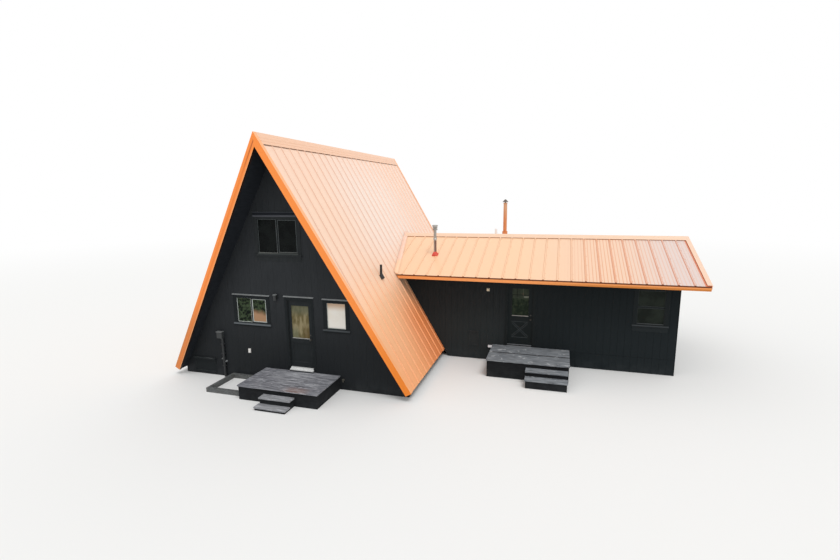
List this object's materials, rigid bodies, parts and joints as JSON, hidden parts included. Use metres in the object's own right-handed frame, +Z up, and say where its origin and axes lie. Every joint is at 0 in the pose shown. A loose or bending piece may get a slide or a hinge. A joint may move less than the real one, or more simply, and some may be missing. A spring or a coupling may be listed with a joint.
{
  "type": "a-frame cabin",
  "caption": "A-frame cabin with a steep ribbed metal roof, a low gabled side wing, two entry decks with steps, and doors that swing on hinges.",
  "frame": {"origin": "on level ground, under the main ridge, in the outer face of the front gable wall", "axes": "+X to the right seen from the front, towards the wing; +Y to the back; +Z up"},
  "size_m": [15.6624, 11.5653, 7.1831],
  "materials": {
    "roof_sheet": "satin painted ribbed sheet, orange",
    "roof_trim": "satin painted folded trim, orange",
    "roof_timber": "dark stained boards",
    "wall": "matt charcoal painted boards",
    "door": "matt charcoal painted timber",
    "casing": "matt charcoal painted timber",
    "deck_wood": "weathered grey stained boards",
    "floor_wood": "plain planks",
    "footing": "rough concrete",
    "window_vinyl": "white vinyl sashes in charcoal casings",
    "glass": "clear, slightly reflective",
    "door_glass": "textured amber and green",
    "flashing": "pale folded flashing",
    "steel": "galvanised",
    "chimney_steel": "heat tinted",
    "vent_black": "black plastic",
    "boot_red": "faded red rubber",
    "white_plastic": "white",
    "light": "cream and black enamel",
    "knob": "worn satin",
    "well_timber": "weathered timber",
    "blind": "white roller blind",
    "brass": "dull",
    "box_grey": "grey enamel"
  },
  "bodies": {
    "body": {"left_roof_boards": "roof_timber", "right_roof_boards": "roof_timber", "left_roof_sheet": "roof_sheet", "right_roof_sheet": "roof_sheet", "ridge_cap": "roof_trim", "front_rake_trim": "roof_trim", "rear_rake_trim": "roof_trim", "side_footings": "footing", "main_floor": "floor_wood", "loft_floor": "floor_wood", "front_wall_left": "wall", "front_wall_right": "wall", "front_gable_wall": "wall", "door_sill_walls": "wall", "rear_gable_wall": "wall", "wing_front_wall_left": "wall", "wing_front_wall_right": "wall", "wing_front_wall_head": "wall", "wing_rear_wall": "wall", "wing_end_wall": "wall", "wing_floor": "floor_wood", "wing_roof_boards": "roof_timber", "wing_roof_sheets": "roof_sheet", "wing_ridge_cap": "roof_trim", "wing_eave_fascias": "roof_trim", "wing_rake_trim": "roof_trim", "valley_flashing": "flashing", "upper_window": "casing", "left_window": "casing", "right_window": "casing", "wing_window": "casing", "rear_windows": "casing", "window_glass": "glass", "front_door_frame": "casing", "wing_door_frame": "casing", "door_thresholds": "white_plastic", "front_deck_boards": "deck_wood", "front_deck_frame": "deck_wood", "wing_deck_boards": "deck_wood", "wing_deck_frame": "deck_wood", "main_roof_vent": "vent_black", "gas_flue": "steel", "flue_boot": "boot_red", "stove_chimney": "chimney_steel", "white_vent_pipe": "white_plastic", "wall_lights": "light", "outlet_covers": "box_grey", "utility_box": "box_grey", "access_hatches": "casing", "window_well_curb": "well_timber", "window_blind": "blind", "hose_bib": "brass"},
    "front_door": {"front_door_leaf": "door", "front_door_glass": "door_glass", "front_door_knobs": "knob"},
    "wing_door": {"wing_door_leaf": "door", "wing_door_glass": "glass", "wing_door_knobs": "knob"}
  },
  "joints": [
    {"name": "front_door_hinge", "type": "hinge", "parent": "body", "child": "front_door", "pos_m": [0.0815, 0.08, 0.6], "axis": [0, 0, 1], "range_deg": [0, 90]},
    {"name": "wing_door_hinge", "type": "hinge", "parent": "body", "child": "wing_door", "pos_m": [6.0575, 3.635, 0.6], "axis": [0, 0, 1], "range_deg": [0, 90]}
  ]
}
